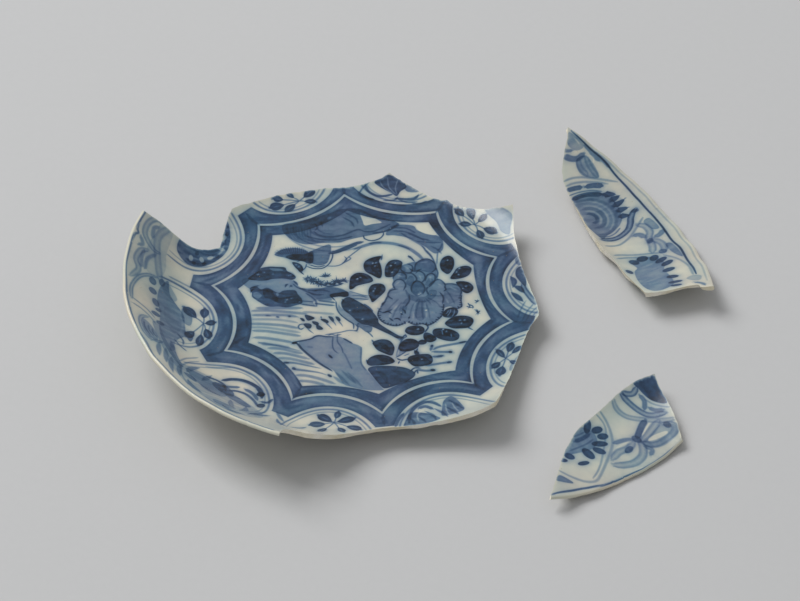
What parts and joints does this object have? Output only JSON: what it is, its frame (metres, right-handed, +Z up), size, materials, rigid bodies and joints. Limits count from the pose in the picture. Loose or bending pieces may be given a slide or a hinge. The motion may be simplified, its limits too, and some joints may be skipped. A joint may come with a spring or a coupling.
{
  "type": "broken plate in pieces",
  "caption": "Shallow round porcelain dish on a foot ring, broken into a large sherd and loose rim sherds, painted in blue, lying as found on a table.",
  "frame": {"origin": "on the table, under the middle of the box round all the sherds", "axes": "+Z up from the table and along the dish's axis in the large sherd, +X to the right past the loose sherds, +Y away from the viewer"},
  "size_m": [0.2596, 0.2234, 0.0301],
  "materials": {
    "glazed_porcelain": "clear gloss glaze over cobalt blue painting on off-white porcelain, with bare matt paste on the broken edges and the foot ring"
  },
  "bodies": {
    "root": {"main_sherd": "glazed_porcelain", "long_rim_sherd": "glazed_porcelain", "small_rim_sherd": "glazed_porcelain"}
  },
  "joints": []
}
